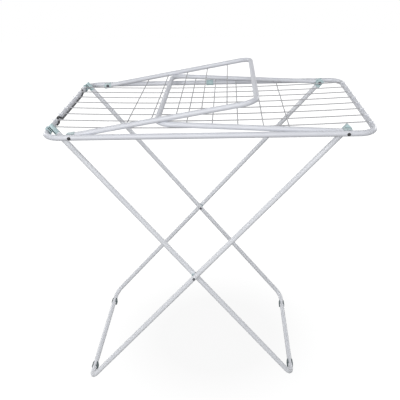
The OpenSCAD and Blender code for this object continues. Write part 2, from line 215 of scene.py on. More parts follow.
@dataclass(frozen=True)
class MouldedPlastic:
    """Injection-moulded polypropylene: matt, with a fine spark-eroded grain, and painted shade in its slots
    and against the next piece.
    """

    name: str
    colour: str
    pale: str
    roughness: float = 0.5
    # Painted shade: the colour that slots and faces near the next piece darken to, and how far the darkening
    # reaches
    shade_colour: str = "#334549"
    painted_occlusion: float = 5 * MM
    flow: float = 12 * MM
    grain: float = 0.9 * MM
    grain_depth: float = 0.15 * MM
    bump: float = 0.12
    ior: float = 1.49

    def build(self) -> Material:
        """Makes the material.

        Returns:
            A matt plastic material on object coordinates.
        """
        mat = blank_material(self.name)
        tree = mat.node_tree
        place = add(tree, "ShaderNodeTexCoord").outputs["Object"]
        # Flow marks of the melt, which cloud the colour
        flow = add(tree, "ShaderNodeTexNoise", {"Scale": 1 / self.flow, "Detail": 3.0, "Distortion": 0.6},
                   {"Vector": place})
        reach = add(tree, "ShaderNodeMapRange", {"From Min": 0.35, "From Max": 0.75},
                    {"Value": flow.outputs["Fac"]})
        tone = add(tree, "ShaderNodeMix",
                   {"data_type": "RGBA", 6: hex_colour(self.colour), 7: hex_colour(self.pale)},
                   {0: reach.outputs["Result"]})
        # Painted shade: ambient occlusion darkens slots and faces near the next piece, which draws the
        # moulded form
        painted_occlusion = add(tree, "ShaderNodeAmbientOcclusion", {"samples": 16, "Distance": self.painted_occlusion})
        painted_shade = add(tree, "ShaderNodeMapRange",
                    {"From Min": 0.25, "From Max": 0.8, "To Min": 1.0, "To Max": 0.0},
                    {"Value": painted_occlusion.outputs["AO"]})
        tone_with_shade = add(tree, "ShaderNodeMix", {"data_type": "RGBA", 7: hex_colour(self.shade_colour)},
                     {0: painted_shade.outputs["Result"], 6: tone.outputs[2]})
        # The grain is coarser than the real 0.1 mm, so that it shows
        grain = add(tree, "ShaderNodeTexVoronoi", {"Scale": 1 / self.grain}, {"Vector": place})
        gloss = add(tree, "ShaderNodeMapRange",
                    {"To Min": self.roughness - 0.08, "To Max": self.roughness + 0.1},
                    {"Value": flow.outputs["Fac"]})
        return close_material(mat, self.ior, tone_with_shade.outputs[2], gloss.outputs["Result"],
                              grain.outputs["Distance"], self.bump, self.grain_depth)


@dataclass(frozen=True)
class FormedSteel:
    """Cold-formed steel, stove-lacquered black or left dull: smooth, half glossy, with fine draw marks."""

    name: str
    colour: str
    worn: str
    roughness: float = 0.34
    mark: float = 0.8 * MM
    mark_depth: float = 0.1 * MM
    bump: float = 0.06
    ior: float = 1.5

    def build(self) -> Material:
        """Makes the material.

        Returns:
            A dark, half glossy material on object coordinates.
        """
        mat = blank_material(self.name)
        tree = mat.node_tree
        place = add(tree, "ShaderNodeTexCoord").outputs["Object"]
        # Draw marks along the wire and the shanks: ten times as long as wide, and coarse enough to show
        squeeze = add(tree, "ShaderNodeMapping", {"Scale": (1, 0.1, 1)}, {"Vector": place})
        marks = add(tree, "ShaderNodeTexNoise", {"Scale": 1 / self.mark, "Detail": 3.0},
                    {"Vector": squeeze.outputs["Vector"]})
        reach = add(tree, "ShaderNodeMapRange", {"From Min": 0.45, "From Max": 0.85, "To Max": 0.7},
                    {"Value": marks.outputs["Fac"]})
        tone = add(tree, "ShaderNodeMix",
                   {"data_type": "RGBA", 6: hex_colour(self.colour), 7: hex_colour(self.worn)},
                   {0: reach.outputs["Result"]})
        gloss = add(tree, "ShaderNodeMapRange",
                    {"To Min": self.roughness - 0.06, "To Max": self.roughness + 0.16},
                    {"Value": marks.outputs["Fac"]})
        return close_material(mat, self.ior, tone.outputs[2], gloss.outputs["Result"], marks.outputs["Fac"],
                              self.bump, self.mark_depth)


class Finishes:
    """The rack's finishes, made once and shared by every class."""

    def __init__(self) -> None:
        """Builds every material."""
        # Frame and legs carry one powder coat: the frame's copy is painted a little darker and the legs' a
        # little lighter, for the light that falls differently on them
        self.frame_paint = PowderCoat("powder_coat_cool_white", "#E3E5EB", "#D9DBE2").build()
        self.leg_paint = PowderCoat("powder_coat_leg_grey", "#EEF0F4", "#E4E6EC").build()
        self.wire_coat = PowderCoat("powder_coat_wire", "#B6B6B9", "#A6A6A9", roughness=0.42).build()
        self.teal = MouldedPlastic("polypropylene_teal_moulded", "#BCD4D7", "#CBDFE1").build()
        self.pale_teal = MouldedPlastic("polypropylene_pale_teal_moulded", "#C6D9DB", "#D4E3E4").build()
        self.dark = MouldedPlastic("polypropylene_dark_moulded", "#47595B", "#5A6D6E").build()
        self.black = FormedSteel("lacquer_black_rivet", "#0E0F12", "#26282C").build()
        self.black_wire = FormedSteel("lacquer_black_wire", "#1B1D21", "#3B3D43").build()
        # A whiter copy of the coat, which paints the highlight along the wire ends over the side bars
        self.painted_highlight = PowderCoat("touch_up_white_brushed", "#F6F7FA", "#EEF0F4", roughness=0.4).build()
        self.steel = FormedSteel("steel_dulled_rivet", "#4C4D55", "#777982", roughness=0.42).build()


# ------------ mesh makers


def place_mesh(name: str, mesh: Mesh) -> Object:
    """Puts a mesh in the scene.

    Args:
        name: The object's name.
        mesh: The mesh.

    Returns:
        The object, at the origin.
    """
    obj = bpy.data.objects.new(name, mesh)
    bpy.context.collection.objects.link(obj)
    return obj


def place_shape(name: str, shape: BMesh) -> Object:
    """Turns an edited shape into a mesh object.

    Args:
        name: The name of the mesh and the object.
        shape: The shape. It is freed.

    Returns:
        The object, at the origin.
    """
    mesh = bpy.data.meshes.new(name)
    shape.to_mesh(mesh)
    shape.free()
    return place_mesh(name, mesh)


def finish_shading(mesh: Mesh, angle: float = math.radians(34)) -> None:
    """Shades a mesh smooth, with its sharp edges kept."""
    mesh.shade_smooth()
    mesh.set_sharp_from_angle(angle=angle)


def settle(obj: Object, name: str) -> Object:
    """Turns an object with live modifiers into a plain mesh object at the origin.

    Args:
        obj: The object. It is removed.
        name: The finished piece's name.

    Returns:
        The finished piece.
    """
    graph = bpy.context.evaluated_depsgraph_get()
    mesh = bpy.data.meshes.new_from_object(obj.evaluated_get(graph))
    bpy.data.objects.remove(obj)
    mesh.name = name
    return place_mesh(name, mesh)


def line_object(name: str, points: list[Vector], closed: bool = False) -> Object:
    """Makes a mesh object of straight edges through points.

    Args:
        name: The object's name.
        points: The corners, in order.
        closed: Whether the last point joins the first.

    Returns:
        The new object.
    """
    mesh = bpy.data.meshes.new(name)
    edges = [(i, i + 1) for i in range(len(points) - 1)]
    if closed:
        edges.append((len(points) - 1, 0))
    mesh.from_pydata([tuple(p) for p in points], edges, [])
    return place_mesh(name, mesh)


def run_tree(obj: Object, tree: NodeTree, values: dict, name: str) -> Object:
    """Runs a geometry tree on an object and keeps the result as a plain mesh.

    Args:
        obj: The object that holds the tree's input geometry. It is removed.
        tree: The geometry tree.
        values: The tree's inputs by name.
        name: The finished piece's name.

    Returns:
        The finished piece.
    """
    modifier = obj.modifiers.new("build", "NODES")
    modifier.node_group = tree
    for item in tree.interface.items_tree:
        if item.in_out == "INPUT" and item.name in values:
            modifier[item.identifier] = values[item.name]
    return settle(obj, name)


def new_tree(name: str, inputs: dict[str, tuple[str, object]]) -> tuple[NodeTree, Node]:
    """Starts a geometry tree with named inputs.

    Args:
        name: The tree's name.
        inputs: Socket type and default by input name, after the geometry.

    Returns:
        The tree and its input node.
    """
    tree = bpy.data.node_groups.new(name, "GeometryNodeTree")
    tree.interface.new_socket("Geometry", in_out="INPUT", socket_type="NodeSocketGeometry")
    for label, (kind, default) in inputs.items():
        socket = tree.interface.new_socket(label, in_out="INPUT", socket_type=kind)
        if default is not None:
            socket.default_value = default
    tree.interface.new_socket("Geometry", in_out="OUTPUT", socket_type="NodeSocketGeometry")
    return tree, add(tree, "NodeGroupInput")


def close_tree(tree: NodeTree, shape: NodeSocket, material: NodeSocket) -> None:
    """Ends a tree: smooth faces with sharp edges kept, real geometry, and the material.

    Args:
        tree: The tree.
        shape: The geometry so far.
        material: The socket that gives the material.
    """
    crease = math.radians(40)
    real = add(tree, "GeometryNodeRealizeInstances", None, {"Geometry": shape})
    faces = add(tree, "GeometryNodeSetShadeSmooth", {"domain": "FACE"}, {"Geometry": real.outputs[0]})
    angle = add(tree, "GeometryNodeInputMeshEdgeAngle")
    sharp = add(tree, "FunctionNodeCompare", {"data_type": "FLOAT", "operation": "GREATER_THAN", 1: crease},
                {0: angle.outputs["Unsigned Angle"]})
    edges = add(tree, "GeometryNodeSetShadeSmooth", {"domain": "EDGE", "Shade Smooth": False},
                {"Geometry": faces.outputs[0], "Selection": sharp.outputs["Result"]})
    dress = add(tree, "GeometryNodeSetMaterial", None, {"Geometry": edges.outputs[0], "Material": material})
    add(tree, "NodeGroupOutput", None, {0: dress.outputs[0]})


def bent_tube_tree() -> NodeTree:
    """Makes the tree that bends a tube or wire round a path's corners.

    Returns:
        A tree with the radius, bend radius, points per bend, points round, and material as inputs.
    """
    tree, given = new_tree("bent_tube", {
        "Radius": ("NodeSocketFloat", 8 * MM), "Bend radius": ("NodeSocketFloat", 40 * MM),
        "Bend points": ("NodeSocketInt", 16), "Round points": ("NodeSocketInt", 28),
        "Material": ("NodeSocketMaterial", None)})
    path = add(tree, "GeometryNodeMeshToCurve", None, {0: given.outputs["Geometry"]})
    bent = add(tree, "GeometryNodeFilletCurve", {"mode": "POLY", "Limit Radius": True},
               {"Curve": path.outputs[0], "Count": given.outputs["Bend points"],
                "Radius": given.outputs["Bend radius"]})
    ring = add(tree, "GeometryNodeCurvePrimitiveCircle", None,
               {"Resolution": given.outputs["Round points"], "Radius": given.outputs["Radius"]})
    skin = add(tree, "GeometryNodeCurveToMesh", {"Fill Caps": True},
               {"Curve": bent.outputs[0], "Profile Curve": ring.outputs[0]})
    close_tree(tree, skin.outputs[0], given.outputs["Material"])
    return tree


def wire_row_tree() -> NodeTree:
    """Makes the tree that lays a row of equal wires, straight or hanging down at the middle.

    Returns:
        A tree with the count, first start, run along a wire, step between wires, sag, radius and material
        as inputs.
    """
    tree, given = new_tree("wire_row", {
        "Count": ("NodeSocketInt", 8), "First start": ("NodeSocketVector", (0.0, 0.0, 0.0)),
        "Run": ("NodeSocketVector", (1.0, 0.0, 0.0)), "Step": ("NodeSocketVector", (0.0, 0.06, 0.0)),
        "Sag": ("NodeSocketFloat", 0.0), "Radius": ("NodeSocketFloat", 1.5 * MM),
        "Material": ("NodeSocketMaterial", None)})
    line = add(tree, "GeometryNodeCurvePrimitiveLine", None, {"End": given.outputs["Run"]})
    steps = add(tree, "GeometryNodeResampleCurve", {"Count": 25}, {"Curve": line.outputs[0]})
    # The fall at share f of the wire is 4 f (1 - f) of its sag
    share = add(tree, "GeometryNodeSplineParameter").outputs["Factor"]
    rest = add(tree, "ShaderNodeMath", {"operation": "SUBTRACT", 0: 1.0}, {1: share})
    bow = add(tree, "ShaderNodeMath", {"operation": "MULTIPLY"}, {0: share, 1: rest.outputs[0]})
    fall = add(tree, "ShaderNodeMath", {"operation": "MULTIPLY"},
               {0: bow.outputs[0], 1: given.outputs["Sag"]})
    down = add(tree, "ShaderNodeVectorMath", {"operation": "SCALE", 0: (0, 0, -4)},
               {"Scale": fall.outputs[0]})
    wire = add(tree, "GeometryNodeSetPosition", None,
               {"Geometry": steps.outputs[0], "Offset": down.outputs[0]})
    ring = add(tree, "GeometryNodeCurvePrimitiveCircle", {"Resolution": 16},
               {"Radius": given.outputs["Radius"]})
    skin = add(tree, "GeometryNodeCurveToMesh", {"Fill Caps": True},
               {"Curve": wire.outputs[0], "Profile Curve": ring.outputs[0]})
    row = add(tree, "GeometryNodeMeshLine", {"mode": "OFFSET"},
              {"Count": given.outputs["Count"], "Start Location": given.outputs["First start"],
               "Offset": given.outputs["Step"]})
    laid = add(tree, "GeometryNodeInstanceOnPoints", None,
               {"Points": row.outputs[0], "Instance": skin.outputs[0]})
    close_tree(tree, laid.outputs[0], given.outputs["Material"])
    return tree


def scatter_tree() -> NodeTree:
    """Makes the tree that puts one small part on every point, turned by the point's own "aim".

    Returns:
        A tree with the part, its spread of size, a fixed seed and the material as inputs.
    """
    tree, given = new_tree("parts_on_points", {
        "Part": ("NodeSocketObject", None), "Spread": ("NodeSocketFloat", 0.0),
        "Seed": ("NodeSocketInt", 7), "Material": ("NodeSocketMaterial", None)})
    part = add(tree, "GeometryNodeObjectInfo", None, {"Object": given.outputs["Part"]})
    aim = add(tree, "GeometryNodeInputNamedAttribute", {"data_type": "FLOAT_VECTOR", "Name": "aim"})
    turn = add(tree, "FunctionNodeEulerToRotation", None, {0: aim.outputs["Attribute"]})
    low = add(tree, "ShaderNodeMath", {"operation": "SUBTRACT", 0: 1.0}, {1: given.outputs["Spread"]})
    high = add(tree, "ShaderNodeMath", {"operation": "ADD", 0: 1.0}, {1: given.outputs["Spread"]})
    size = add(tree, "FunctionNodeRandomValue", {"data_type": "FLOAT"},
               {2: low.outputs[0], 3: high.outputs[0], "Seed": given.outputs["Seed"]})
    laid = add(tree, "GeometryNodeInstanceOnPoints", None,
               {"Points": given.outputs["Geometry"], "Instance": part.outputs["Geometry"],
                "Rotation": turn.outputs[0], "Scale": size.outputs[1]})
    close_tree(tree, laid.outputs[0], given.outputs["Material"])
    return tree


class Workshop:
    """The geometry trees and the finishes, with the moves that use them."""

    def __init__(self) -> None:
        """Makes the finishes and the trees."""
        self.finishes = Finishes()
        self.bent_tube = bent_tube_tree()
        self.wire_row = wire_row_tree()
        self.scatter = scatter_tree()

    def tube(self, name: str, path: list[Vector], radius: float, bend: float, material: Material,
             closed: bool = False, around: int = 28, per_bend: int = 16) -> Object:
        """Bends a tube along a path.

        Args:
            name: The piece's name.
            path: The path's corners.
            radius: Outer radius.
            bend: Bend radius at the axis.
            material: The finish.
            closed: Whether the tube closes on itself.
            around: Points round the tube.
            per_bend: Points along each bend.

        Returns:
            The tube.
        """
        base = line_object(name + "_path", path, closed)
        return run_tree(base, self.bent_tube, {
            "Radius": radius, "Bend radius": bend, "Bend points": per_bend, "Round points": around,
            "Material": material}, name)

    def wires(self, name: str, count: int, start: Vector, run: Vector, step: Vector, radius: float,
              sag: float = 0.0) -> Object:
        """Lays a row of drying wires.

        Args:
            name: The piece's name.
            count: How many wires.
            start: Where the first wire starts.
            run: From a wire's start to its end.
            step: From one wire to the next.
            radius: The wires' radius.
            sag: How far a wire's middle hangs below its ends.

        Returns:
            The wires, as one piece.
        """
        base = line_object(name + "_row", [Vector((0, 0, 0))])
        return run_tree(base, self.wire_row, {
            "Count": count, "First start": tuple(start), "Run": tuple(run), "Step": tuple(step),
            "Sag": sag, "Radius": radius, "Material": self.finishes.wire_coat}, name)

    def on_points(self, name: str, part: Object, places: list[tuple[Vector, Euler]],
                  material: Material, spread: float = 0.0, seed: int = 7) -> Object:
        """Puts copies of a small part at places.

        Args:
            name: The piece's name.
            part: The small part, at the origin. It is removed.
            places: A point and a turn for each copy.
            material: The finish.
            spread: How far the sizes vary, as a share.
            seed: Seed of that spread.

        Returns:
            The copies, as one piece.
        """
        base = line_object(name + "_places", [p for p, _ in places])
        aim = base.data.attributes.new("aim", "FLOAT_VECTOR", "POINT")
        aim.data.foreach_set("vector", [c for _, turn in places for c in turn])
        piece = run_tree(base, self.scatter,
                         {"Part": part, "Spread": spread, "Seed": seed, "Material": material}, name)
        bpy.data.objects.remove(part)
        return piece


def turned(name: str, profile: list[tuple[float, float]], steps: int = 40) -> Object:
    """Turns a profile into a solid round Z, as on a lathe.

    Args:
        name: The part's name.
        profile: Radius and height of each point. A radius of zero closes a pole.
        steps: Faces round the part.

    Returns:
        The part, at the origin.
    """
    shape = bmesh.new()
    points = [shape.verts.new((r, 0, z)) for r, z in profile]
    edges = [shape.edges.new(pair) for pair in zip(points, points[1:])]
    bmesh.ops.spin(shape, geom=points + edges, axis=(0, 0, 1), cent=(0, 0, 0), angle=math.tau, steps=steps,
                   use_merge=True, use_duplicate=False)
    bmesh.ops.remove_doubles(shape, verts=shape.verts, dist=1e-6)
    bmesh.ops.recalc_face_normals(shape, faces=shape.faces)
    part = place_shape(name, shape)
    finish_shading(part.data)
    return part


def weld_bead(name: str, size: tuple[float, float, float]) -> Object:
    """Makes one weld bead: a flattened drop with a slightly uneven skin.

    Args:
        name: The part's name.
        size: Half lengths along X, Y and Z.

    Returns:
        The bead, at the origin.
    """
    shape = bmesh.new()
    bmesh.ops.create_icosphere(shape, subdivisions=2, radius=1.0)
    for vert in shape.verts:
        ripple = 1 + 0.06 * math.sin(9 * vert.co.x + 4 * vert.co.y)
        vert.co = Vector([c * s for c, s in zip(vert.co, size)]) * ripple
    bead = place_shape(name, shape)
    finish_shading(bead.data, math.radians(80))
    return bead


def moulded_copy(node: str, material: Material, width: Bevel = Bevel.MOULDED) -> Object:
    """Copies a node's solid with its edges rounded as a mould leaves them.

    Args:
        node: The node, which also names the piece.
        material: The finish.
        width: How far the edges are rounded.

    Returns:
        The rounded piece.
    """
    shape = bmesh.new()
    shape.from_mesh(frame["nodes"][node].data)
    bmesh.ops.remove_doubles(shape, verts=shape.verts, dist=1e-6)
    bmesh.ops.dissolve_limit(shape, angle_limit=math.radians(1), verts=shape.verts, edges=shape.edges)
    raw = place_shape(f"{node}_moulded_raw", shape)
    rounding = raw.modifiers.new("rounding", "BEVEL")
    rounding.width = width.value
    rounding.segments = 3
    rounding.limit_method = "ANGLE"
    rounding.angle_limit = math.radians(38)
    rounding.use_clamp_overlap = True
    piece = settle(raw, f"{node}_moulded")
    piece.data.materials.clear()
    piece.data.materials.append(material)
    finish_shading(piece.data)
    return piece


def recoat(piece: Object, material: Material, chosen: Callable[[Vector], bool],
           cuts: tuple[float, ...] = ()) -> None:
    """Gives some of a piece's faces a second finish.

    Args:
        piece: The piece.
        material: The second finish.
        chosen: Tells from the middle of a face whether it takes it.
        cuts: Places along X where the faces are first divided.
    """
    shape = bmesh.new()
    shape.from_mesh(piece.data)
    for x in cuts:
        bmesh.ops.bisect_plane(shape, geom=[*shape.verts, *shape.edges, *shape.faces],
                               plane_co=(x, 0, 0), plane_no=(1, 0, 0))
    shape.to_mesh(piece.data)
    shape.free()
    piece.data.materials.append(material)
    for face in piece.data.polygons:
        if chosen(face.center):
            face.material_index = len(piece.data.materials) - 1


# ------------ the fixed frame


def joint_place(child: str) -> Vector:
    """Returns the place of the joint that carries a body."""
    return Vector(next(j for j in frame["joints"] if j["child"] == child)["pos_m"])


def report(piece: Object, body: str, slot: str, *nodes: str) -> Object:
    """Rides a piece on its body, hides the nodes that it stands for, and logs it.

    Args:
        piece: The piece.
        body: The body it moves with.
        slot: The record's material slot. It is not used.
        nodes: The nodes it replaces.

    Returns:
        The piece.
    """
    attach(piece, body)
    if nodes:
        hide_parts(*nodes)
    LOG.info("%s rides on %s, %d faces", piece.name, body, len(piece.data.polygons))
    return piece


# ------------ top frame


@dataclass
class TopFrame:
    """The main frame: its closed tube, the welded long wires, the sleeve, the side wire and the rivets."""

    shop: Workshop
    tube_radius: float = 8 * MM
    bend_radius: float = 46 * MM
    seat_gap: float = 0.05 * MM
    wire_radius: float = 1.5 * MM
    wire_count: int = 8
    wire_pitch: float = 60 * MM
    side_wire_radius: float = 2.2 * MM
    side_wire_bend: float = 6 * MM
    rivet_shank: float = 3 * MM
    rivet_head: float = 5 * MM
    body: str = "top_frame"

    def __post_init__(self) -> None:
        """Reads the frame's place from its nodes."""
        low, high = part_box("main_frame_tube")
        self.half_length = (high.x - low.x) / 2 - self.tube_radius
        self.half_width = (high.y - low.y) / 2 - self.tube_radius
        self.height = (low.z + high.z) / 2

    def build(self) -> None:
        """Builds every piece of the top frame."""
        self.build_tube()
        self.build_wires()
        self.build_welds()
        self.build_sleeve()
        self.build_side_wire()
        self.build_rivets()

    def build_tube(self) -> None:
        """Bends the closed main tube."""
        x, y, z = self.half_length, self.half_width, self.height
        path = [Vector(c) for c in ((-x, -y, z), (x, -y, z), (x, y, z), (-x, y, z))]
        tube = self.shop.tube("main_tube", path, self.tube_radius, self.bend_radius,
                              self.shop.finishes.frame_paint, closed=True)
        report(tube, self.body, "frame_paint", "main_frame_tube")

    def wire_rows(self) -> list[float]:
        """Returns the place across the rack of each long wire."""
        return [(i - (self.wire_count - 1) / 2) * self.wire_pitch for i in range(self.wire_count)]

    def build_wires(self) -> None:
        """Lays the long drying wires across the two side bars, a little slack between them."""
        low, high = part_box("main_wires")
        # A sagging wire's end faces lean, so its axis stops short of the box
        slant = 0.08 * MM
        start = Vector((low.x + slant, self.wire_rows()[0], high.z - self.wire_radius))
        run = Vector((high.x - low.x - 2 * slant, 0, 0))
        sag = high.z - low.z - 2 * self.wire_radius
        wires = self.shop.wires("long_wires", self.wire_count, start, run, Y_AXIS * self.wire_pitch,
                                self.wire_radius, sag)
        # Painted highlight: the wire ends over the side bars are coloured whiter than the rest, for the light
        # they catch there
        edge = self.half_length - self.tube_radius
        recoat(wires, self.shop.finishes.painted_highlight, lambda c: abs(c.x) > edge, (-edge, edge))
        report(wires, self.body, "wire_coat", "main_wires")

    def build_welds(self) -> None:
        """Puts a weld bead in each corner between a long wire and a side bar."""
        bead = weld_bead("frame_bead", (2.6 * MM, 1.7 * MM, 1.1 * MM))
        beside, above, spread, seed = 1.9 * MM, 0.35 * MM, 0.16, 11
        crest = self.height + self.tube_radius + above
        places = [(Vector((end.value * self.half_length, y + side.value * beside, crest)), Euler((0, 0, 0)))
                  for end in End for y in self.wire_rows() for side in Side]
        beads = self.shop.on_points("frame_welds", bead, places, self.shop.finishes.frame_paint, spread, seed)
        report(beads, self.body, "frame_paint")

    def build_sleeve(self) -> None:
        """Turns the joint sleeve, with a raised band at each end and a groove in the middle."""
        low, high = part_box("frame_joint_sleeve")
        outer, half = (high.z - low.z) / 2, (high.x - low.x) / 2
        bore, rim, band, slope = self.tube_radius + self.seat_gap, 0.9 * MM, 3 * MM, 0.8 * MM
        waist, flank, groove_half = outer - 0.7 * MM, 0.6 * MM, 1 * MM
        lower = [(bore, -half), (outer - rim, -half), (outer - rim * 0.3, -half + rim * 0.3),
                 (outer, -half + rim), (outer, -half + band), (waist, -half + band + slope),
                 (waist, -groove_half - flank), (waist - flank, -groove_half)]
        profile = [*lower, *[(r, -z) for r, z in reversed(lower)], lower[0]]
        part = turned("sleeve_part", profile)
        seat = ((low + high) / 2, Euler((0, math.pi / 2, 0)))
        sleeve = self.shop.on_points("joint_sleeve", part, [seat], self.shop.finishes.teal)
        report(sleeve, self.body, "teal_plastic", "frame_joint_sleeve")

    def build_side_wire(self) -> None:
        """Bends the dark wire that runs beside the left side bar and laps over its top."""
        # Degrees round the bar, from its inner side: the run lies a little low, a rise takes three steps
        low, step = -10, 35
        # From the bar's axis to the wire's, and lengths along the bar
        stand = 10.75 * MM
        front, rise, fall, run, tail = -107 * MM, 21 * MM, 16 * MM, 245 * MM, 20 * MM
        lap = front - rise
        end = lap - fall
        back = front + run
        turns = [(low, end - tail), (low, end), (low + step, end + fall / 3),
                 (low + 2 * step, lap - fall / 3), (low + 3 * step, lap), (low + 2 * step, lap + rise / 3),
                 (low + step, front - rise / 3), (low, front), (low, back), (low + step, back + rise),
                 (low + 2 * step, back + 1.5 * rise), (low + 3 * step, back + 2.2 * rise)]
        path = [Vector((stand * math.cos(math.radians(a)) - self.half_length, y,
                        stand * math.sin(math.radians(a)) + self.height)) for a, y in turns]
        wire = self.shop.tube("side_wire", path, self.side_wire_radius, self.side_wire_bend,
                              self.shop.finishes.black_wire, around=16, per_bend=6)
        report(wire, self.body, "black_wire", "side_bar_wire")

    def build_rivets(self) -> None:
        """Turns the four hinge rivets, each with a domed head outside and a flat one inside."""
        for end in End:
            for side in Side:
                node = f"hinge_rivet_{end.name.lower()}_{side.name.lower()}"
                build_rivet(self.shop, node, side, self.rivet_shank, self.rivet_head, self.body,
                            self.shop.finishes.black)


def build_rivet(shop: Workshop, node: str, side: Side, shank: float, head: float, body: str,
                finish: Material) -> Object:
    """Turns one rivet in place of its node, with a dull steel tail.

    Args:
        shop: The workshop.
        node: The rivet's node.
        side: The side of the rack that its domed head looks to.
        shank: Shank radius.
        head: Head radius.
        body: The body it moves with.
        finish: The finish of the domed head.

    Returns:
        The rivet.
    """
    low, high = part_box(node)
    length = high.y - low.y
    dome, dimple, tail, ring, edge = 2.4 * MM, 0.35 * MM, 1.6 * MM, 0.25 * MM, 0.5 * MM
    arc = [(head * math.cos(math.radians(a)), length - dome + dome * math.sin(math.radians(a)))
           for a in range(12, 90, 13)]
    # The tail's face has a pressed ring and a worn edge, and the dome has a dimple on top
    profile = [(0, 0), (head * 0.55, 0), (head * 0.62, ring), (head - 0.8 * edge, 0.2 * edge),
               (head, edge), (head, tail), (shank, tail), (shank, length - dome),
               (head - 0.3 * edge, length - dome), *arc, (head * 0.2, length - 0.12 * MM),
               (head * 0.16, length - dimple), (0, length - dimple)]
    part = turned(node + "_part", profile, 32)
    middle = (low + high) / 2
    seat = Vector((middle.x, low.y if side is Side.BACK else high.y, middle.z))
    turn = Euler((-side.value * math.pi / 2, 0, 0))
    rivet = shop.on_points(node + "_turned", part, [(seat, turn)], finish)
    recoat(rivet, shop.finishes.steel, lambda c: side.value * (c.y - seat.y) < 2 * tail)
    return report(rivet, body, "black_rivet", node)


# ------------ wings


@dataclass
class Wing:
    """A folding wing: its U of tube, the cross wires with their welds, and two plastic hinge ends."""

    shop: Workshop
    end: End
    length: float = 509 * MM
    half_width: float = 261.7 * MM
    tube_radius: float = 7.5 * MM
    bend_radius: float = 40 * MM
    tube_start: float = 12.05 * MM
    wire_radius: float = 1.5 * MM
    wire_drop: float = 3.4 * MM
    first_wire: float = 150 * MM
    wire_pitch: float = 69.5 * MM
    wire_count: int = 5
    wire_entry: float = 3 * MM

    def __post_init__(self) -> None:
        """Finds the hinge, the tilt at rest and the wing's own directions."""
        self.name = f"wing_{self.end.name.lower()}"
        self.hinge = joint_place(self.name)
        _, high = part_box(f"{self.name}_tube")
        self.tilt = math.asin((high.z - self.tube_radius - self.hinge.z) / self.length)
        reach = -self.end.value
        self.along = Vector((reach * math.cos(self.tilt), 0, math.sin(self.tilt)))
        self.up = Vector((-reach * math.sin(self.tilt), 0, math.cos(self.tilt)))

    def at(self, along: float, across: float, up: float = 0.0) -> Vector:
        """Returns the place of a point given along the wing, across the rack and up from the wing."""
        return self.hinge + self.along * along + Y_AXIS * across + self.up * up

    def build(self) -> None:
        """Builds every piece of the wing."""
        self.build_tube()
        self.build_wires()
        self.build_welds()
        for side in Side:
            node = f"{self.name}_end_{side.name.lower()}"
            piece = moulded_copy(node, self.shop.finishes.pale_teal)
            report(piece, self.name, "pale_plastic", node)

    def build_tube(self) -> None:
        """Bends the tube from one hinge end, round the end bar, to the other."""
        path = [self.at(self.tube_start, -self.half_width), self.at(self.length, -self.half_width),
                self.at(self.length, self.half_width), self.at(self.tube_start, self.half_width)]
        tube = self.shop.tube(f"{self.name}_bent_tube", path, self.tube_radius, self.bend_radius,
                              self.shop.finishes.frame_paint)
        report(tube, self.name, "wing_paint", f"{self.name}_tube")

    def build_wires(self) -> None:
        """Lays the cross wires, each end a little way into the tube."""
        reach = self.half_width - self.wire_entry
        start = self.at(self.first_wire, -reach, -self.wire_drop)
        wires = self.shop.wires(f"{self.name}_cross_wires", self.wire_count, start, Y_AXIS * 2 * reach,
                                self.along * self.wire_pitch, self.wire_radius)
        report(wires, self.name, "wire_coat", f"{self.name}_wires")

    def build_welds(self) -> None:
        """Puts a small weld bead round each wire's end at the tube."""
        spread, seed = 0.14, 5 + self.end.value
        across = self.half_width - math.sqrt(self.tube_radius ** 2 - self.wire_drop ** 2)
        bead = weld_bead(f"{self.name}_bead", (2.3 * MM, 1.3 * MM, 2.2 * MM))
        places = [(self.at(self.first_wire + i * self.wire_pitch, side.value * across, -self.wire_drop),
                   Euler((0, self.tilt * self.end.value, 0)))
                  for i in range(self.wire_count) for side in Side]
        beads = self.shop.on_points(f"{self.name}_welds", bead, places, self.shop.finishes.frame_paint,
                                    spread, seed)
        report(beads, self.name, "wing_paint")


# ------------ legs


@dataclass
class LegFrame:
    """One U of legs: the bent tube and the foot clips. The two kinds add their own ends."""

    shop: Workshop
    kind: str
    foot_x: float
    half_width: float
    end_reach: float
    foot_height: float = 12 * MM
    tube_radius: float = 7.75 * MM
    bend_radius: float = 30 * MM

    def __post_init__(self) -> None:
        """Names the body and places the middle of the foot bar."""
        self.body = f"{self.kind}_legs"
        self.foot = Vector((self.foot_x, 0, self.foot_height))

    def build_tube(self, top: Vector) -> None:
        """Bends the leg tube from one end, round the foot bar, to the other.

        Args:
            top: The upper end of the legs' line, which the tube stops short of.
        """
        line = top - self.foot
        near = self.foot + line.normalized() * (line.length - self.end_reach)
        path = [near - Y_AXIS * self.half_width, self.foot - Y_AXIS * self.half_width,
                self.foot + Y_AXIS * self.half_width, near + Y_AXIS * self.half_width]
        tube = self.shop.tube(f"{self.kind}_leg_bent_tube", path, self.tube_radius, self.bend_radius,
                              self.shop.finishes.leg_paint)
        report(tube, self.body, "leg_paint", f"{self.kind}_leg_tube")

    def build_feet(self) -> None:
        """Rounds the two foot clips' edges, as moulded."""
        for side in Side:
            node = f"{self.kind}_foot_{side.name.lower()}"
            clip = moulded_copy(node, self.shop.finishes.dark)
            report(clip, self.body, "dark_plastic", node)


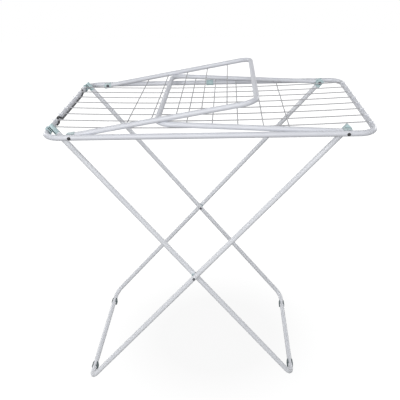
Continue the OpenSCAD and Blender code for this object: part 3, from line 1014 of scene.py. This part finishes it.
@dataclass
class OuterLegs(LegFrame):
    """The outer legs: hinged to the top frame, with the spacers and rivets of the crossing."""

    kind: str = "outer"
    foot_x: float = -416 * MM
    half_width: float = 245.6 * MM
    end_reach: float = 16.05 * MM
    rivet_shank: float = 2.5 * MM
    rivet_head: float = 4.5 * MM
    run_gap: float = 0.05 * MM

    def build(self) -> None:
        """Builds every piece of the outer legs."""
        self.build_tube(joint_place("top_frame"))
        self.build_feet()
        for side in Side:
            node = f"outer_leg_end_{side.name.lower()}"
            end = moulded_copy(node, self.shop.finishes.teal)
            report(end, self.body, "teal_plastic", node)
            self.build_spacer(side)
            build_rivet(self.shop, f"crossing_rivet_{side.name.lower()}", side, self.rivet_shank,
                        self.rivet_head, self.body, self.shop.finishes.steel)

    def build_spacer(self, side: Side) -> None:
        """Turns one spacer between the crossed legs, with a waist round its middle.

        Args:
            side: The side of the rack.
        """
        node = f"crossing_spacer_{side.name.lower()}"
        low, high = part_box(node)
        outer, thick = (high.z - low.z) / 2, high.y - low.y
        bore, rim, waist = self.rivet_shank + self.run_gap, 0.6 * MM, 0.5 * MM
        profile = [(bore, 0), (outer - rim, 0), (outer, rim), (outer, thick * 0.35),
                   (outer - waist, thick * 0.5), (outer, thick * 0.65), (outer, thick - rim),
                   (outer - rim, thick), (bore, thick), (bore, 0)]
        part = turned(node + "_part", profile)
        seat = Vector(((low.x + high.x) / 2, low.y, (low.z + high.z) / 2))
        turn = Euler((-math.pi / 2, 0, 0))
        spacer = self.shop.on_points(node + "_turned", part, [(seat, turn)], self.shop.finishes.teal)
        report(spacer, self.body, "dark_plastic", node)


@dataclass
class InnerLegs(LegFrame):
    """The inner legs: two hooks grip the top frame's left side bar."""

    kind: str = "inner"
    foot_x: float = 255 * MM
    half_width: float = 225.1 * MM
    end_reach: float = 20.05 * MM
    hook_offset: float = 19 * MM

    def build(self) -> None:
        """Builds every piece of the inner legs."""
        self.build_tube(self.top())
        self.build_feet()
        for side in Side:
            node = f"leg_hook_{side.name.lower()}"
            hook = moulded_copy(node, self.shop.finishes.teal, Bevel.FINE)
            report(hook, self.body, "teal_plastic", node)

    def top(self) -> Vector:
        """Finds where the legs' line passes nearest to the left side bar, the hook's offset from it.

        Returns:
            The upper end of the legs' line.
        """
        low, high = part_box("main_frame_tube")
        bar = Vector((low.x + (high.z - low.z) / 2, 0, (low.z + high.z) / 2))
        base = bar - self.foot
        angle = math.atan2(base.z, base.x) - math.asin(self.hook_offset / base.length)
        reach = math.sqrt(base.length ** 2 - self.hook_offset ** 2)
        return self.foot + Vector((math.cos(angle), 0, math.sin(angle))) * reach


# ------------ studio


@dataclass(frozen=True)
class Studio:
    """A pale floor, five soft lamps, a soft room and the camera."""

    place: tuple[float, float, float] = (0.06173, -1.69487, 1.38833)
    yaw: float = -0.0506283
    pitch: float = 0.4230864
    roll: float = 0.0324391
    lens_mm: float = 51.04233
    sensor_mm: float = 36
    shift: tuple[float, float] = (-0.01276875, -0.0484835)
    aim: tuple[float, float, float] = (0, 0, 0.6)
    floor_half: float = 6
    floor_white: float = 1.145
    shadow_from: float = 0.2
    shadow_to: float = 0.8
    shadow_share: float = 0.8
    room_strength: float = 0.26

    def build(self) -> None:
        """Makes the camera, the floor, the world and the lamps."""
        self.build_camera()
        self.build_floor()
        self.build_world()
        self.build_lamp("key", (-0.9, -3.9, 5.2), (3.0, 2.4), 64)
        self.build_lamp("fill", (-0.7, -5.0, 2.6), (3.4, 1.4), 138)
        self.build_lamp("overhead", (0.2, 0.3, 6.2), (3.6, 3.0), 4)
        for end in End:
            self.build_lamp(f"back_{end.name.lower()}", (end.value * 3.9, 3.6, 1.9), (2.4, 1.4), 64)
        bpy.context.scene.view_settings.view_transform = "Standard"

    def build_camera(self) -> None:
        """Places the camera and makes it the scene's."""
        sy, cy = math.sin(self.yaw), math.cos(self.yaw)
        sp, cp = math.sin(self.pitch), math.cos(self.pitch)
        forward = Vector((sy * cp, cy * cp, -sp))
        right = Vector((cy, -sy, 0))
        down = forward.cross(right)
        sr, cr = math.sin(self.roll), math.cos(self.roll)
        turned_right = right * cr + down * sr
        turned_down = down * cr - right * sr
        data = bpy.data.cameras.new("camera")
        data.sensor_width = self.sensor_mm
        data.lens = self.lens_mm
        data.shift_x, data.shift_y = self.shift
        camera = bpy.data.objects.new("camera", data)
        axes = Matrix((turned_right, -turned_down, -forward)).transposed()
        camera.matrix_world = Matrix.Translation(self.place) @ axes.to_4x4()
        bpy.context.collection.objects.link(camera)
        bpy.context.scene.camera = camera

    @staticmethod
    def looked_at(tree: NodeTree) -> NodeSocket:
        """Adds the test for a ray that shows the background: seen straight, in gloss or through glass.

        Args:
            tree: The floor's or the world's node tree.

        Returns:
            A socket that is 1 for such a ray and 0 for the light that falls on the rack.
        """
        path = add(tree, "ShaderNodeLightPath")
        mirrored = add(tree, "ShaderNodeMath", {"operation": "MAXIMUM"},
                       {0: path.outputs["Is Camera Ray"], 1: path.outputs["Is Glossy Ray"]})
        through = add(tree, "ShaderNodeMath", {"operation": "MAXIMUM"},
                      {0: mirrored.outputs[0], 1: path.outputs["Is Transmission Ray"]})
        return through.outputs[0]

    def build_floor(self) -> None:
        """Lays paper that keeps a faint shadow round the rack and fades to plain white further out."""
        shape = bmesh.new()
        bmesh.ops.create_grid(shape, x_segments=1, y_segments=1, size=self.floor_half)
        floor = place_shape("floor", shape)
        mat = blank_material("studio_paper")
        tree = mat.node_tree
        paper = add(tree, "ShaderNodeBsdfDiffuse", {"Color": hex_colour("#7C7C7C")})
        glow = add(tree, "ShaderNodeEmission", {"Color": WHITE, "Strength": self.floor_white})
        spot = add(tree, "ShaderNodeTexCoord")
        away = add(tree, "ShaderNodeVectorMath", {"operation": "LENGTH"}, {0: spot.outputs["Object"]})
        fade = add(tree, "ShaderNodeMapRange",
                   {"From Min": self.shadow_from, "From Max": self.shadow_to,
                    "To Min": self.shadow_share, "To Max": 1.0},
                   {"Value": away.outputs["Value"]})
        share = add(tree, "ShaderNodeMath", {"operation": "MULTIPLY"},
                    {0: self.looked_at(tree), 1: fade.outputs[0]})
        both = add(tree, "ShaderNodeMixShader", None,
                   {0: share.outputs[0], 1: paper.outputs[0], 2: glow.outputs[0]})
        add(tree, "ShaderNodeOutputMaterial", None, {"Surface": both.outputs[0]})
        floor.data.materials.append(mat)

    def build_world(self) -> None:
        """Lights the room softly from all round, white to the camera and in reflections."""
        world = bpy.data.worlds.new("studio")
        world.use_nodes = True
        tree = world.node_tree
        tree.nodes.clear()
        soft = add(tree, "ShaderNodeBackground",
                   {"Color": hex_colour("#FAFBFF"), "Strength": self.room_strength})
        white = add(tree, "ShaderNodeBackground", {"Color": WHITE, "Strength": 1.0})
        both = add(tree, "ShaderNodeMixShader", None,
                   {0: self.looked_at(tree), 1: soft.outputs[0], 2: white.outputs[0]})
        add(tree, "ShaderNodeOutputWorld", None, {"Surface": both.outputs[0]})
        bpy.context.scene.world = world

    def build_lamp(self, name: str, place: tuple[float, float, float], size: tuple[float, float],
                   watts: float) -> None:
        """Hangs one soft lamp that looks at the rack.

        Args:
            name: The lamp's name.
            place: Where it hangs.
            size: Its width and height.
            watts: Its power.
        """
        data = bpy.data.lights.new(name, "AREA")
        data.shape = "RECTANGLE"
        data.size, data.size_y = size
        data.energy = watts
        lamp = bpy.data.objects.new(name, data)
        lamp.location = place
        lamp.rotation_euler = (Vector(self.aim) - Vector(place)).to_track_quat("-Z", "Y").to_euler()
        bpy.context.collection.objects.link(lamp)


# ------------ main


def main() -> None:
    """Builds the rack's looks in order, then the studio."""
    logging.basicConfig(level=logging.INFO, format="%(message)s")
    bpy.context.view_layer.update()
    shop = Workshop()
    TopFrame(shop).build()
    for end in End:
        Wing(shop, end).build()
    OuterLegs(shop).build()
    InnerLegs(shop).build()
    Studio().build()


if __name__ == "__main__":
    main()
